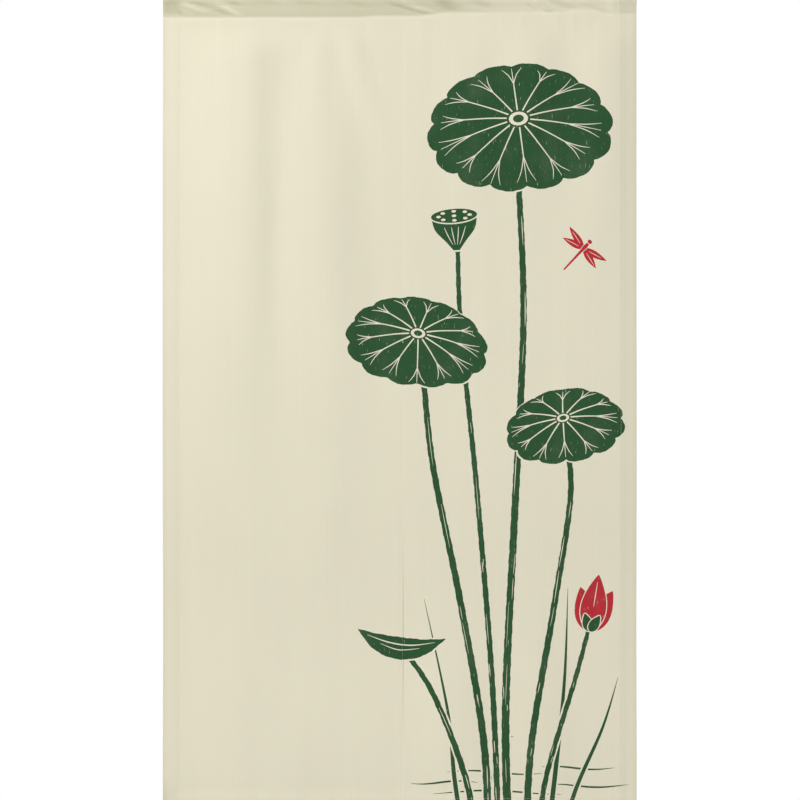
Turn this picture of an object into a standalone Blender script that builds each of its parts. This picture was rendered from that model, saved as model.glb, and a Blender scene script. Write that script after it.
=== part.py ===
"""Noren: a doorway curtain of two cloth panels that hang side by side from one rod.

Each panel is one cloth. Its top is folded over to the back and sewn down as a pocket for
the rod, its outer side and its foot are hemmed, and its inner side is a selvedge.
Units are metres and +Z is up. The origin is the middle of the top edge, the width
runs along X, and the printed side of the cloth faces -Y.
"""

import math
from collections import namedtuple

import bmesh
import bpy

# The whole curtain
WIDTH = 0.850
DROP = 1.500
GAP = 0.0003  # between pieces that are sewn edge to edge or face to face
JOIN_X = 0.0055  # where the two panels meet, a little right of the middle
SLIT_TOP = -0.634  # the panels are sewn together down to here, and part below it
SLIT_HALF = 0.0006  # how far each panel stands back from the join at the foot

# The cloth, hemmed at the outer side and at the foot
CLOTH = 0.0012
HEM_EXTRA = 0.0008  # what a turned hem adds, all of it on the back
SIDE_HEM = 0.030
FOOT_HEM = 0.045
HEM_STEP = 0.0012  # width over which the thickness steps up
HEM_BELOW = 0.0100  # the side hem thickens this far below the pocket's seam
FOOT_PRESS = 0.0012  # the foot hem stands this far forward
FOOT_STEP = 0.0140  # over this much of the drop, centred on the hem's line

# The pocket: a front and a back leaf, one cloth over the rod, sewn together along a seam.
# The leaves bend in towards each other below the rod, then close up more gently.
ROD_SPACE = 0.018  # width of the empty pocket at its roundest
BEND_TOP = 0.0245
BEND_FOOT = 0.0355
BEND = 0.25  # the bend's share of the way in
LEAF_POWER = 1.3  # the leaves stay apart for longer as this grows
FRONT_SHARES = (0.17, 0.32, 0.42, 0.52, 0.63, 0.76, 0.88)  # rows from the rod's axis to the seam
BACK_SHARES = (0.76, 0.52, 0.32)
TURNED_EDGE = 0.0030  # the back leaf ends this far below the seam
BACK_OUT = CLOTH + GAP  # and lies this far behind the front one there
TOP_STEPS = 8  # facets over the rod
TOP_RADIUS = (ROD_SPACE + CLOTH) / 2
ROD_AXIS = TOP_RADIUS + CLOTH / 2

# The seam isn't straight: its depth below the top edge, at places along X
Seam = namedtuple("Seam", "x down")
SEAM = (
    Seam(-0.425, 0.0545),
    Seam(-0.080, 0.0540),
    Seam(-0.035, 0.0515),
    Seam(0.035, 0.0515),
    Seam(0.080, 0.0455),
    Seam(0.280, 0.0440),
    Seam(0.338, 0.0400),
    Seam(0.390, 0.0480),
    Seam(0.425, 0.0475),
)
DEEPEST_SEAM = SEAM[0].down

# Below the seam the cloth springs out again in a lip, fuller at the left
LIP_LEFT = 0.0011
LIP_RIGHT = 0.0004
LIP_DOWN = 0.0048  # depth of the lip's crest below the seam
LIP_REACH = 0.0200  # and how far it takes to die out below that

# Puckers in the front leaf: a soft ridge runs from a place near the rod to one at the seam
Pucker = namedtuple("Pucker", "x_above x_below half_width rise")
PUCKERS = (
    Pucker(-0.440, -0.323, 0.018, 0.0024),
    Pucker(-0.358, -0.281, 0.017, 0.0024),
    Pucker(-0.215, -0.190, 0.026, 0.0006),
    Pucker(-0.025, 0.070, 0.021, 0.0024),
    Pucker(0.118, 0.136, 0.026, 0.0006),
    Pucker(0.222, 0.269, 0.017, 0.0030),
    Pucker(0.330, 0.348, 0.024, 0.0008),
    Pucker(0.375, 0.387, 0.016, 0.0014),
)
BACK_SHARE = 0.45  # the back leaf puckers less than the front one

# Upright folds. Each one's crest drifts from one X to another between its top and its foot.
# It rises over left, falls over right, and comes up over fade below its top.
Fold = namedtuple("Fold", "crest_above crest_below left right rise top foot fade")
FOLDS = (
    Fold(-0.272, -0.292, 0.125, 0.074, 0.0125, -0.040, -0.980, 0.10),
    Fold(-0.150, -0.112, 0.098, 0.096, 0.0125, -0.060, -1.120, 0.36),
    Fold(-0.146, -0.150, 0.037, 0.038, 0.0034, -0.040, -0.340, 0.08),
    Fold(-0.104, -0.020, 0.037, 0.037, 0.0034, -0.040, -0.340, 0.07),
    Fold(0.120, 0.128, 0.062, 0.060, 0.0026, -0.040, -0.620, 0.12),
    Fold(0.241, 0.244, 0.072, 0.064, 0.0052, -0.040, -0.480, 0.09),
    Fold(0.371, 0.366, 0.070, 0.070, 0.0068, -0.040, -0.620, 0.09),
    Fold(-0.134, -0.132, 0.072, 0.054, 0.0040, -0.820, -1.140, 0.14),
    Fold(-0.291, -0.286, 0.088, 0.078, 0.0052, -1.060, -1.640, 0.22),
    Fold(-0.205, -0.198, 0.062, 0.066, 0.0042, -1.240, -1.700, 0.18),
    Fold(0.085, 0.105, 0.098, 0.108, 0.0070, -1.080, -1.700, 0.22),
    Fold(0.240, 0.262, 0.092, 0.078, 0.0060, -1.080, -1.700, 0.20),
)
FOLD_HOLD = 0.3  # share of a fold's length before it starts to die out

# Broad swells of the whole cloth, each a low mound over above + below and left + right
Swell = namedtuple("Swell", "crest above below x left right rise")
SWELLS = (
    Swell(-0.420, 0.380, 0.620, -0.300, 0.400, 0.420, 0.0120),
    Swell(-0.860, 0.600, 0.285, 0.000, 1.400, 1.400, 0.0130),
    Swell(-1.420, 0.275, 0.260, -0.020, 1.400, 1.400, 0.0130),
)
LOOSE_BELOW = 0.060  # folds and swells come free over this much below the seam

# Edges that lift or fall back: how deep at the edge itself, over which width and height
Curl = namedtuple("Curl", "width rise top foot")
LEFT_OUTER_CURL = Curl(0.034, 0.0010, -0.070, -1.700)
LEFT_INNER_CURL = Curl(0.040, 0.0014, -0.950, -1.420)
RIGHT_OUTER_CURL = Curl(0.034, -0.0022, -0.070, -1.700)
RIGHT_INNER_CURL = Curl(0.050, -0.0012, -0.900, -1.450)

# How closely the points lie
COLUMN_PITCH = 0.0127
UPPER_PITCH = 0.018
LOWER_PITCH = 0.041
UPPER_END = 0.160  # rows are closer together down to here, below the seam

CLOTH_COLOUR = (0.72, 0.67, 0.50, 1.0)
CLOTH_ROUGHNESS = 0.92
CREASE_ANGLE = math.radians(40)  # sharper edges than this aren't shaded smooth


def ease(t):
    """0 to 1 with level ends."""
    t = min(max(t, 0.0), 1.0)
    return t * t * (3 - 2 * t)


def bump(offset, before, after):
    """1 at the crest, falling to 0 at before on its near side and after on its far side."""
    reach = before if offset < 0 else after
    return 0.5 * (1 + math.cos(math.pi * min(abs(offset) / reach, 1.0)))


def between(start, end, share):
    return start + (end - start) * share


def spaced(start, end, pitch):
    """Values from start up to but not including end, as near to pitch apart as fits."""
    count = max(1, round(abs(end - start) / pitch))
    return [between(start, end, i / count) for i in range(count)]


def seam_depth(x):
    """Depth of the seam below the top edge, eased from one named place to the next."""
    for left, right in zip(SEAM, SEAM[1:]):
        if x <= right.x:
            return between(left.down, right.down, ease((x - left.x) / (right.x - left.x)))
    return SEAM[-1].down


def fold_rise(fold, x, z):
    share = min(max((fold.top - z) / (fold.top - fold.foot), 0.0), 1.0)
    crest = between(fold.crest_above, fold.crest_below, share)
    comes = ease((fold.top - z) / fold.fade)
    goes = 1 - ease((share - FOLD_HOLD) / (1 - FOLD_HOLD))
    return fold.rise * bump(x - crest, fold.left, fold.right) * comes * goes


def swell_rise(swell, x, z):
    return (
        swell.rise
        * bump(swell.crest - z, swell.above, swell.below)
        * bump(x - swell.x, swell.left, swell.right)
    )


def curl_rise(curl, inset, z):
    """Lift of the cloth this far in from an edge that curls."""
    middle = (curl.top + curl.foot) / 2
    half = (curl.top - curl.foot) / 2
    return curl.rise * bump(inset, curl.width, curl.width) * bump(z - middle, half, half)


def lip_rise(x, below):
    """Lift of the cloth just below the seam."""
    fullness = between(LIP_LEFT, LIP_RIGHT, ease(x / WIDTH + 0.5))
    return fullness * bump(below - LIP_DOWN, LIP_DOWN, LIP_REACH)


def proud(x, z, outer_x, outer_curl, inner_curl):
    """How far the panel stands forward of the seam's plane."""
    below = -z - seam_depth(x)
    rise = sum(fold_rise(fold, x, z) for fold in FOLDS)
    rise += sum(swell_rise(swell, x, z) for swell in SWELLS)
    rise += curl_rise(outer_curl, abs(x - outer_x), z)
    rise += curl_rise(inner_curl, abs(x - JOIN_X), z)
    pressed = FOOT_PRESS * ease((FOOT_HEM - DROP - z) / FOOT_STEP + 0.5)
    return rise * ease(below / LOOSE_BELOW) + lip_rise(x, below) + pressed


def hem_extra(x, z, inset):
    """What the hems add to the cloth's thickness, this far in from the outer side."""
    below = -z - seam_depth(x)
    side = ease((SIDE_HEM + HEM_STEP / 2 - inset) / HEM_STEP) * ease((below - HEM_BELOW) / HEM_STEP)
    foot = ease((FOOT_HEM - DROP + HEM_STEP / 2 - z) / HEM_STEP)
    return HEM_EXTRA * max(side, foot)


def pucker_rise(x, share):
    """Height of the puckers' ridges, this share of the way from the rod's axis to the seam."""
    return math.sin(math.pi * share) * sum(
        p.rise * bump(x - between(p.x_above, p.x_below, share), p.half_width, p.half_width)
        for p in PUCKERS
    )


def leaf_out(share, seam, at_seam):
    """How far a leaf stands out from the rod's axis, this share of the way down to the seam."""
    down = between(ROD_AXIS, seam, share)
    bent = ease((down - BEND_TOP) / (BEND_FOOT - BEND_TOP))
    closed = between(1 - math.cos(math.pi / 2 * share**LEAF_POWER), bent, BEND)
    return between(TOP_RADIUS, at_seam, closed)


def pocket_line(x):
    """The cloth's middle line at this X, as (y, z) from its turned edge over the rod to the seam."""
    seam = seam_depth(x)
    line = [(BACK_OUT, -seam - TURNED_EDGE), (BACK_OUT, -seam)]
    for share in BACK_SHARES:
        out = leaf_out(share, seam, BACK_OUT) + BACK_SHARE * pucker_rise(x, share)
        line.append((out, -between(ROD_AXIS, seam, share)))
    for step in range(TOP_STEPS + 1):
        turn = math.pi * step / TOP_STEPS
        line.append((TOP_RADIUS * math.cos(turn), TOP_RADIUS * math.sin(turn) - ROD_AXIS))
    for share in FRONT_SHARES:
        out = leaf_out(share, seam, 0.0) + pucker_rise(x, share)
        line.append((-out, -between(ROD_AXIS, seam, share)))
    return line + [(0.0, -seam)]


def across(line, i):
    """Unit vector square to the middle line at its i-th point, towards the printed side."""
    before = line[max(i - 1, 0)]
    after = line[i + 1]
    along_y = after[0] - before[0]
    along_z = after[1] - before[1]
    length = math.hypot(along_y, along_z)
    return along_z / length, -along_y / length


def panel_rows():
    """Depths below the deepest seam, from the seam to the foot, with a close pair at each hem."""
    foot = DROP - DEEPEST_SEAM
    foot_line = foot - FOOT_HEM
    rows = [0.0, LIP_DOWN, HEM_BELOW]
    rows += spaced(HEM_BELOW + HEM_STEP, UPPER_END, UPPER_PITCH)
    rows += spaced(UPPER_END, foot_line - FOOT_STEP / 2, LOWER_PITCH)
    rows += [foot_line + step / 2 for step in (-FOOT_STEP, -HEM_STEP, HEM_STEP, FOOT_STEP)]
    return rows + [foot]


def panel_columns(half_width):
    """Insets from the outer side to the join, with a close pair at the hem line."""
    columns = spaced(0.0, SIDE_HEM - HEM_STEP / 2, COLUMN_PITCH)
    columns += [SIDE_HEM - HEM_STEP / 2]
    columns += spaced(SIDE_HEM + HEM_STEP / 2, half_width, COLUMN_PITCH)
    return columns + [half_width]


def build_panel(name, outer_x, outer_curl, inner_curl):
    """One panel's cloth, from its outer side at outer_x to the join, pocket and hems included."""
    inward = math.copysign(1.0, JOIN_X - outer_x)
    half_width = abs(JOIN_X - outer_x) - GAP / 2
    outside, inside = [], []
    for inset in panel_columns(half_width):
        x = outer_x + inward * inset
        line = pocket_line(x)
        outer_points, inner_points = [], []
        for i, (y, z) in enumerate(line[:-1]):
            out_y, out_z = across(line, i)
            outer_points.append((x, y + out_y * CLOTH / 2, z + out_z * CLOTH / 2))
            inner_points.append((x, y - out_y * CLOTH / 2, z - out_z * CLOTH / 2))
        for row in panel_rows():
            parted = SLIT_HALF * ease((SLIT_TOP + DEEPEST_SEAM + row) / (SLIT_TOP + DROP))
            hung_x = x - inward * parted * inset / half_width
            lifted = (DEEPEST_SEAM - seam_depth(x)) * (1 - ease(row / UPPER_END))
            z = lifted - row - DEEPEST_SEAM
            y = -proud(hung_x, z, outer_x, outer_curl, inner_curl)
            outer_points.append((hung_x, y - CLOTH / 2, z))
            inner_points.append((hung_x, y + CLOTH / 2 + hem_extra(hung_x, z, inset), z))
        outside.append(outer_points)
        inside.append(inner_points)
    return closed_sheet(name, outside, inside)


def closed_sheet(name, outside, inside):
    """One closed body between two grids of points, each a list of lines of the same length."""
    shape = bmesh.new()
    outer, inner = (
        [[shape.verts.new(point) for point in line] for line in grid]
        for grid in (outside, inside)
    )
    last_line = len(outside) - 1
    last = len(outside[0]) - 1
    for side in (outer, inner):
        for line, next_line in zip(side, side[1:]):
            for i in range(last):
                shape.faces.new((line[i], line[i + 1], next_line[i + 1], next_line[i]))
    rim = [(0, i) for i in range(last)]
    rim += [(line, last) for line in range(last_line)]
    rim += [(last_line, i) for i in range(last, 0, -1)]
    rim += [(line, 0) for line in range(last_line, 0, -1)]
    for (line, i), (next_line, next_i) in zip(rim, rim[1:] + rim[:1]):
        shape.faces.new(
            (outer[line][i], outer[next_line][next_i], inner[next_line][next_i], inner[line][i])
        )
    bmesh.ops.recalc_face_normals(shape, faces=shape.faces)
    mesh = bpy.data.meshes.new(name)
    shape.to_mesh(mesh)
    shape.free()
    mesh.shade_smooth()
    mesh.set_sharp_from_angle(angle=CREASE_ANGLE)
    mesh.materials.append(cloth_material())
    sheet = bpy.data.objects.new(name, mesh)
    bpy.context.scene.collection.objects.link(sheet)
    return sheet


def cloth_material():
    """Plain-woven ecru cloth."""
    if "ecru_cloth" in bpy.data.materials:
        return bpy.data.materials["ecru_cloth"]
    material = bpy.data.materials.new("ecru_cloth")
    material.use_nodes = True
    shader = material.node_tree.nodes["Principled BSDF"]
    shader.inputs["Base Color"].default_value = CLOTH_COLOUR
    shader.inputs["Roughness"].default_value = CLOTH_ROUGHNESS
    shader.inputs["Metallic"].default_value = 0.0
    return material


for leftover in list(bpy.data.objects):
    bpy.data.objects.remove(leftover, do_unlink=True)

build_panel("panel_left", -WIDTH / 2, LEFT_OUTER_CURL, LEFT_INNER_CURL)
build_panel("panel_right", WIDTH / 2, RIGHT_OUTER_CURL, RIGHT_INNER_CURL)
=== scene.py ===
"""A noren: a doorway curtain of two cloth panels that hang side by side from one rod.

Units are metres. X runs along the rod, -Y is towards the viewer and +Z is up. The origin is
the middle of the top edge. Each panel is one sheet, hung from its flat cut in the same folds
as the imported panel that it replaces.
"""
import math
import random
from collections import namedtuple

import bpy
import numpy as np
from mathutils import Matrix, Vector, geometry, kdtree


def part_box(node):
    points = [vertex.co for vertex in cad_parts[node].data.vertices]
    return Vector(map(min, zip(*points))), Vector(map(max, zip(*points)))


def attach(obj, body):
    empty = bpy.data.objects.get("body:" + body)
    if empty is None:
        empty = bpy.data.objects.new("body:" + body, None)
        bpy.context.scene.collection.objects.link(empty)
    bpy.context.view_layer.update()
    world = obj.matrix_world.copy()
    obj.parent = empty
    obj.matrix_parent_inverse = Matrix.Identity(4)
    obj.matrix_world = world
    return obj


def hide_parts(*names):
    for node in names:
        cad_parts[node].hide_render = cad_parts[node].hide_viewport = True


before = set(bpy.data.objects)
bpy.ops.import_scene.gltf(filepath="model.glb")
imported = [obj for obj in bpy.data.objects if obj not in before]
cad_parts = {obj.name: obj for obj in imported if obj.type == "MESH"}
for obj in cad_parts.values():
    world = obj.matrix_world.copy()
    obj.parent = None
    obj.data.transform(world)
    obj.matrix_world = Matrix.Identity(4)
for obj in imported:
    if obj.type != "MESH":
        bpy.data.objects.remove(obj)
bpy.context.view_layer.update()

# ----------------------------------------
# The view. Square on to the printed side, from so far away that the cloth shows flat. It
# takes in the whole width, and stops a little short of the top edge and of the foot.
# ----------------------------------------
VIEW_HEIGHT = 1.4376
VIEW_X = 0.0005
VIEW_Z = -0.7423
VIEW_DISTANCE = 8.0
SENSOR_MM = 36.0

bpy.ops.object.camera_add(
    location=(VIEW_X, -VIEW_DISTANCE, VIEW_Z), rotation=(math.pi / 2, 0, 0)
)
camera = bpy.context.object
camera.name = "view"
camera.data.sensor_width = SENSOR_MM
camera.data.lens = SENSOR_MM * VIEW_DISTANCE / VIEW_HEIGHT
camera.data.clip_end = 4 * VIEW_DISTANCE
bpy.context.scene.camera = camera

# ----------------------------------------
# The two panels. Each is one width of plain-woven slub cotton. Its outer side is hemmed
# first, then its foot, and last its top is folded to the back over the rod and sewn down
# as a pocket. The inner side is the selvedge.
# ----------------------------------------
left_low, left_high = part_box("panel_left")
right_low, right_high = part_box("panel_right")
OUTER_X = right_high.x  # the hemmed sides, at -OUTER_X and OUTER_X
JOIN_X = (left_high.x + right_low.x) / 2  # where the two selvedges meet
DROP = -left_low.z

SHEET = 0.0004  # the cloth itself
LAYER = 0.00045  # from one layer to the next where it is folded over
TURN_TAKES = (np.pi / 2 - 1) * LAYER  # width that a hem's turned edge takes up
SIDE_HEM = 0.030
FOOT_HEM = 0.045
RAW_EDGE = 0.012  # turned in along the inside of each hem
HEM_EASES = 0.008  # the layers close up over this much past the side hem
SLIT_TOP = -0.634  # the selvedges are sewn together down to here
SEWN_HALF = 0.00001  # how far each selvedge stays from the join where it is sewn
PARTED_HALF = 0.00010  # and at the foot, below the slit
SELVEDGE = 0.0016  # the last of the cloth rolls back into the join
SELVEDGE_ROLL = 0.00012

ROD_SPACE = 0.018
PACKED_THICKNESS = 0.0012
TOP_RADIUS = (ROD_SPACE + PACKED_THICKNESS) / 2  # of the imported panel's middle over the rod
ROD_AXIS = 0.0102  # below the top edge
SEAM_EDGE = 0.0030  # the back leaf ends this far below the seam
BACK_PUCKER = 0.45  # the back leaf puckers less than the front one
POCKET_RAW = 0.010  # its raw edge is turned up this far, and further where the seam is higher

# The seam's depth below the top edge, at places along X
Seam = namedtuple("Seam", "x down")
SEAM = (
    Seam(-0.425, 0.0545),
    Seam(-0.080, 0.0540),
    Seam(-0.035, 0.0515),
    Seam(0.035, 0.0515),
    Seam(0.080, 0.0455),
    Seam(0.280, 0.0440),
    Seam(0.338, 0.0400),
    Seam(0.390, 0.0480),
    Seam(0.425, 0.0475),
)
DEEPEST_SEAM = SEAM[0].down

# Below the seam the cloth springs out again in a lip, fuller at the left
LIP_LEFT = 0.0011
LIP_RIGHT = 0.0004
LIP_DOWN = 0.0048
LIP_REACH = 0.0200

# The pocket's leaves bend in towards each other below the rod, and close up more gently from
# there to the seam
BEND_TOP = 0.0245
BEND_FOOT = 0.0355
BEND = 0.25  # its share of the way in
LEAF_POWER = 1.3  # the leaves stay apart for longer as this grows

# Puckers in the pocket's front leaf, from a place near the rod to one at the seam
Pucker = namedtuple("Pucker", "x_above x_below half_width rise")
PUCKERS = (
    Pucker(-0.392, -0.356, 0.020, 0.0006),
    Pucker(-0.352, -0.292, 0.021, 0.0010),
    Pucker(-0.215, -0.190, 0.026, 0.0006),
    Pucker(-0.012, 0.046, 0.020, 0.0008),
    Pucker(0.118, 0.136, 0.026, 0.0006),
    Pucker(0.216, 0.286, 0.022, 0.0012),
    Pucker(0.330, 0.348, 0.024, 0.0008),
    Pucker(0.372, 0.384, 0.019, 0.0008),
)

# The sharp ridges and hollows on them, between two depths. A hollow has a rise below nothing.
Drag = namedtuple("Drag", "x_above x_below top foot half_width rise")
DRAGS = (
    Drag(-0.4080, -0.4110, 0.0200, 0.0530, 0.0280, -0.0024),
    Drag(-0.4000, -0.3360, 0.0280, 0.0500, 0.0160, 0.0019),
    Drag(-0.3900, -0.3300, 0.0245, 0.0390, 0.0170, -0.0022),
    Drag(-0.4000, -0.3880, 0.0420, 0.0530, 0.0090, -0.0013),
    Drag(-0.3700, -0.3560, 0.0440, 0.0530, 0.0100, -0.0008),
    Drag(-0.3400, -0.3000, 0.0370, 0.0530, 0.0150, -0.0020),
    Drag(-0.3200, -0.2800, 0.0320, 0.0550, 0.0135, 0.0019),
    Drag(-0.3060, -0.2880, 0.0250, 0.0350, 0.0170, -0.0016),
    Drag(-0.2500, -0.2260, 0.0250, 0.0340, 0.0240, -0.0008),
    Drag(-0.1900, -0.1500, 0.0250, 0.0340, 0.0280, -0.0008),
    Drag(-0.0960, -0.0560, 0.0250, 0.0400, 0.0300, -0.0008),
    Drag(-0.0270, 0.0570, 0.0270, 0.0520, 0.0180, -0.0023),
    Drag(0.0200, 0.0960, 0.0330, 0.0560, 0.0200, 0.0019),
    Drag(0.0740, 0.1000, 0.0220, 0.0460, 0.0260, -0.0022),
    Drag(0.1300, 0.1700, 0.0240, 0.0410, 0.0260, -0.0014),
    Drag(0.2240, 0.2520, 0.0270, 0.0450, 0.0090, -0.0014),
    Drag(0.2360, 0.2800, 0.0200, 0.0520, 0.0110, 0.0034),
    Drag(0.2680, 0.3160, 0.0220, 0.0430, 0.0270, -0.0017),
    Drag(0.3280, 0.3840, 0.0310, 0.0480, 0.0170, -0.0014),
    Drag(0.3790, 0.3860, 0.0230, 0.0440, 0.0070, 0.0012),
)
DRAG_FADE = 0.3  # the share of its length over which each end fades

# Upright folds. Each one's crest drifts from one X to another between its top and its foot.
# It rises over left, falls over right, and comes up over fade below its top.
Fold = namedtuple("Fold", "crest_above crest_below left right rise top foot fade")
FOLDS = (
    Fold(-0.272, -0.292, 0.125, 0.074, 0.0125, -0.040, -0.980, 0.10),
    Fold(-0.150, -0.112, 0.098, 0.096, 0.0125, -0.060, -1.120, 0.36),
    Fold(-0.146, -0.150, 0.037, 0.038, 0.0034, -0.040, -0.340, 0.08),
    Fold(-0.104, -0.020, 0.037, 0.037, 0.0034, -0.040, -0.340, 0.07),
    Fold(0.120, 0.128, 0.062, 0.060, 0.0026, -0.040, -0.620, 0.12),
    Fold(0.241, 0.244, 0.072, 0.064, 0.0052, -0.040, -0.480, 0.09),
    Fold(0.371, 0.366, 0.070, 0.070, 0.0068, -0.040, -0.620, 0.09),
    Fold(-0.134, -0.132, 0.072, 0.054, 0.0040, -0.820, -1.140, 0.14),
    Fold(-0.291, -0.286, 0.088, 0.078, 0.0052, -1.060, -1.640, 0.22),
    Fold(-0.205, -0.198, 0.062, 0.066, 0.0042, -1.240, -1.700, 0.18),
    Fold(0.085, 0.105, 0.098, 0.108, 0.0070, -1.080, -1.700, 0.22),
    Fold(0.240, 0.262, 0.092, 0.078, 0.0060, -1.080, -1.700, 0.20),
)
FOLD_HOLD = 0.3  # the share of its length before a fold starts to fade

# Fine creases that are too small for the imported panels: the drag below the seam's puckers,
# and old pressed lines lower down. A rise below nothing is a trough.
CREASES = (
    Fold(-0.392, -0.398, 0.013, 0.016, 0.0006, -0.048, -0.150, 0.012),
    Fold(-0.352, -0.344, 0.012, 0.010, -0.0005, -0.050, -0.125, 0.010),
    Fold(-0.318, -0.322, 0.015, 0.012, 0.0007, -0.048, -0.190, 0.012),
    Fold(-0.232, -0.226, 0.011, 0.012, -0.0004, -0.050, -0.120, 0.010),
    Fold(-0.178, -0.184, 0.014, 0.013, 0.0005, -0.048, -0.160, 0.012),
    Fold(-0.066, -0.058, 0.012, 0.014, -0.0005, -0.050, -0.150, 0.012),
    Fold(0.040, 0.046, 0.014, 0.012, 0.0006, -0.044, -0.170, 0.012),
    Fold(0.092, 0.088, 0.011, 0.012, 0.0004, -0.040, -0.110, 0.010),
    Fold(0.172, 0.180, 0.012, 0.012, -0.0005, -0.040, -0.130, 0.010),
    Fold(0.222, 0.216, 0.011, 0.013, 0.0006, -0.038, -0.160, 0.010),
    Fold(0.279, 0.290, 0.013, 0.013, 0.0009, -0.038, -0.110, 0.006),
    Fold(0.312, 0.318, 0.012, 0.011, 0.0006, -0.038, -0.140, 0.010),
    Fold(0.352, 0.346, 0.012, 0.012, -0.0004, -0.046, -0.130, 0.012),
    Fold(-0.236, -0.262, 0.030, 0.024, 0.0008, -0.300, -0.760, 0.12),
    Fold(-0.060, -0.080, 0.026, 0.032, 0.0007, -0.360, -0.900, 0.14),
    Fold(0.150, 0.172, 0.028, 0.026, 0.0007, -0.420, -0.860, 0.12),
    Fold(0.300, 0.290, 0.026, 0.030, 0.0007, -0.520, -1.050, 0.14),
    Fold(-0.350, -0.338, 0.028, 0.026, 0.0008, -0.880, -1.380, 0.12),
    Fold(-0.090, -0.070, 0.026, 0.028, 0.0007, -1.120, -1.560, 0.12),
    Fold(0.180, 0.172, 0.030, 0.026, 0.0007, -1.160, -1.600, 0.12),
)

# Broad swells of the whole cloth
Swell = namedtuple("Swell", "crest above below x left right rise")
SWELLS = (
    Swell(-0.420, 0.380, 0.620, -0.300, 0.400, 0.420, 0.0120),
    Swell(-0.860, 0.600, 0.285, 0.000, 1.400, 1.400, 0.0130),
    Swell(-1.420, 0.275, 0.260, -0.020, 1.400, 1.400, 0.0130),
)
LOOSE_BELOW = 0.060

# Edges that lift or fall back: how deep at the edge itself, over which width and height
Curl = namedtuple("Curl", "width rise top foot")

# Each panel with its two edges, how much its side hem darkens it, and how much painted shade its
# foot's curled corner takes
Panel = namedtuple("Panel", "name side outer_curl inner_curl hem_darkens corner_darkens")
PANELS = (
    Panel(
        "left", -1,
        Curl(0.034, 0.0010, -0.070, -1.700), Curl(0.040, 0.0014, -0.950, -1.420), 0.4, 3.5,
    ),
    Panel(
        "right", 1,
        Curl(0.034, -0.0022, -0.070, -1.700), Curl(0.050, -0.0012, -0.900, -1.450), 0.7, 0.0,
    ),
)

# A hem's layers press the face forward by this much, over a short step at the hem's line.
# Above the foot hem's line the cloth draws back a little first.
HEM_PRESS = 0.00022
HEM_STEP = 0.0050
FOOT_PRESS = 0.0012
FOOT_STEP = 0.0140
FOOT_DIP = 0.0011
DIP_UP = 0.0120  # from the hem's line up to where the dip is deepest
DIP_REACH = 0.0260  # and on from there to where it starts

# Layers behind the face let less light through it, and painted shade tints it the same way. The
# pocket's front leaf, doubled and mostly in painted shade, is darkened as much as by this many
# layers, less so towards the right, least on its ridges and most in its hollows.
POCKET_PAINTED_SHADE = 6
SHADED_TO_X = 0.06  # from here on the shade fades out
UNSHADED_FROM_X = 0.24
LIT_RIDGE = 0.0030  # a ridge of this height loses the whole painted shade
DEEPEST_SHADE = 1.7  # in a hollow, as a multiple of the pocket's
HEMMED_POCKET = 0.6  # the least where the side hem runs through the pocket
BEHIND_DARKENS = 2
FOOT_DARKENS = 0.2
EDGE_DARKENS = 2.2  # the side hem's folded edge
EDGE_WIDTH = 0.009
CORNER_REACH = 0.034


def ease(t):
    """0 to 1 with level ends."""
    t = np.clip(t, 0.0, 1.0)
    return t * t * (3 - 2 * t)


def bump(offset, before, after):
    """1 at the crest, falling to 0 at before on its near side and after on its far side."""
    reach = np.where(offset < 0, before, after)
    return 0.5 * (1 + np.cos(np.pi * np.minimum(abs(offset) / reach, 1.0)))


def between(start, end, share):
    return start + (end - start) * share


def sewn_width(panel):
    """From the hemmed side to the selvedge."""
    return OUTER_X - panel.side * JOIN_X


def seam_depth(x):
    """Depth of the seam below the top edge, eased from one named place to the next."""
    return SEAM[0].down + sum(
        (right.down - left.down) * ease((x - left.x) / (right.x - left.x))
        for left, right in zip(SEAM, SEAM[1:])
    )


def fold_rise(fold, x, z):
    share = np.clip((fold.top - z) / (fold.top - fold.foot), 0.0, 1.0)
    crest = between(fold.crest_above, fold.crest_below, share)
    comes = ease((fold.top - z) / fold.fade)
    goes = 1 - ease((share - FOLD_HOLD) / (1 - FOLD_HOLD))
    return fold.rise * bump(x - crest, fold.left, fold.right) * comes * goes


def swell_rise(swell, x, z):
    return (
        swell.rise
        * bump(swell.crest - z, swell.above, swell.below)
        * bump(x - swell.x, swell.left, swell.right)
    )


def curl_rise(curl, inset, z):
    """Lift of the cloth this far in from an edge that curls."""
    middle = (curl.top + curl.foot) / 2
    half = (curl.top - curl.foot) / 2
    return curl.rise * bump(inset, curl.width, curl.width) * bump(z - middle, half, half)


def proud(panel, x, z):
    """How far the cloth below the seam stands forward of the seam's plane."""
    below = -z - seam_depth(x)
    from_side = OUTER_X - panel.side * x
    to_join = abs(x - JOIN_X)
    rise = sum(fold_rise(fold, x, z) for fold in FOLDS)
    rise += sum(swell_rise(swell, x, z) for swell in SWELLS)
    rise += curl_rise(panel.outer_curl, from_side, z) + curl_rise(panel.inner_curl, to_join, z)
    lip = between(LIP_LEFT, LIP_RIGHT, ease(x / (2 * OUTER_X) + 0.5))
    side_press = ease((SIDE_HEM - from_side) / HEM_STEP + 0.5)
    foot_press = ease((FOOT_HEM - DROP - z) / FOOT_STEP + 0.5)
    rise = rise * ease(below / LOOSE_BELOW)
    rise += lip * bump(below - LIP_DOWN, LIP_DOWN, LIP_REACH)
    rise += sum(fold_rise(crease, x, z) for crease in CREASES) * ease(below / LIP_DOWN)
    rise += HEM_PRESS * side_press * ease(below / LIP_REACH) + FOOT_PRESS * foot_press
    return rise - FOOT_DIP * bump(FOOT_HEM - DROP + DIP_UP - z, DIP_REACH, DIP_UP)


def pucker_rise(x, share):
    """Height of the puckers' ridges, this share of the way from the rod's axis to the seam."""
    return np.sin(np.pi * share) * sum(
        p.rise * bump(x - between(p.x_above, p.x_below, share), p.half_width, p.half_width)
        for p in PUCKERS
    )


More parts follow.
